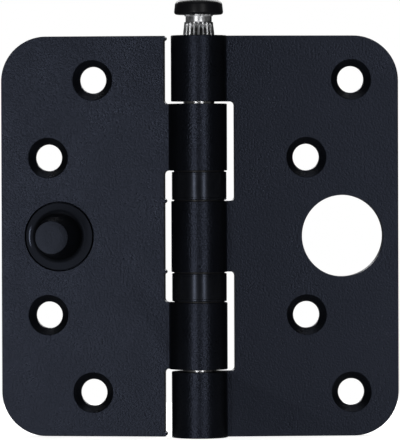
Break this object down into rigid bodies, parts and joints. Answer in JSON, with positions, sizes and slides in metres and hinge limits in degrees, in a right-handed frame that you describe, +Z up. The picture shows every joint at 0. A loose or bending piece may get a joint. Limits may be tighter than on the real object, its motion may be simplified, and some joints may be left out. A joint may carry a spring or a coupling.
{
  "type": "round-corner butt hinge",
  "caption": "Flat steel butt hinge with rounded corners, rolled knuckles, two ball bearings, a lift-out knurled pin and a security stud that enters a hole in the facing leaf.",
  "frame": {"origin": "on the pin axis at mid-height of the barrel", "axes": "+Z up along the pin axis, towards its head; +X outwards along the right leaf; -Y out of the countersunk faces"},
  "size_m": [0.088, 0.0181, 0.0968],
  "materials": {
    "leaf_coating": "fine-grained satin black coating",
    "stud_coating": "satin black coating",
    "bearing_case_gloss": "smooth semi-gloss black coating",
    "pin_zinc": "bright zinc with a black coated head",
    "race_steel": "hardened steel, blackened and oiled",
    "ball_steel": "polished",
    "cage_brass": "pressed sheet"
  },
  "bodies": {
    "fixed_leaf": {"right_leaf": "leaf_coating", "upper_bearing_case": "bearing_case_gloss", "upper_bearing_bottom_race": "race_steel", "lower_bearing_top_race": "race_steel"},
    "swinging_leaf": {"left_leaf": "leaf_coating", "security_stud": "stud_coating", "upper_bearing_top_race": "race_steel", "lower_bearing_case": "bearing_case_gloss", "lower_bearing_bottom_race": "race_steel"},
    "pin": {"hinge_pin": "pin_zinc"},
    "upper_balls": {"upper_bearing_cage": "cage_brass", "upper_bearing_ball_1": "ball_steel", "upper_bearing_ball_2": "ball_steel", "upper_bearing_ball_3": "ball_steel", "upper_bearing_ball_4": "ball_steel", "upper_bearing_ball_5": "ball_steel", "upper_bearing_ball_6": "ball_steel"},
    "lower_balls": {"lower_bearing_cage": "cage_brass", "lower_bearing_ball_1": "ball_steel", "lower_bearing_ball_2": "ball_steel", "lower_bearing_ball_3": "ball_steel", "lower_bearing_ball_4": "ball_steel", "lower_bearing_ball_5": "ball_steel", "lower_bearing_ball_6": "ball_steel"}
  },
  "joints": [
    {"name": "leaf_swing", "type": "hinge", "parent": "fixed_leaf", "child": "swinging_leaf", "pos_m": [0, 0, 0], "axis": [0, 0, 1], "range_deg": [-112, 191]},
    {"name": "pin_slide", "type": "slide", "parent": "fixed_leaf", "child": "pin", "axis": [0, 0, 1], "range_m": [-0.0046, 0.086]},
    {"name": "upper_balls_turn", "type": "hinge", "parent": "fixed_leaf", "child": "upper_balls", "pos_m": [0, 0, 0.01123], "axis": [0, 0, 1], "range_deg": [-56, 95.5]},
    {"name": "lower_balls_turn", "type": "hinge", "parent": "fixed_leaf", "child": "lower_balls", "pos_m": [0, 0, -0.01123], "axis": [0, 0, 1], "range_deg": [-56, 95.5]}
  ],
  "couplings": [
    {"joint": "upper_balls_turn", "follows": "leaf_swing", "ratio": 0.5},
    {"joint": "lower_balls_turn", "follows": "leaf_swing", "ratio": 0.5}
  ]
}
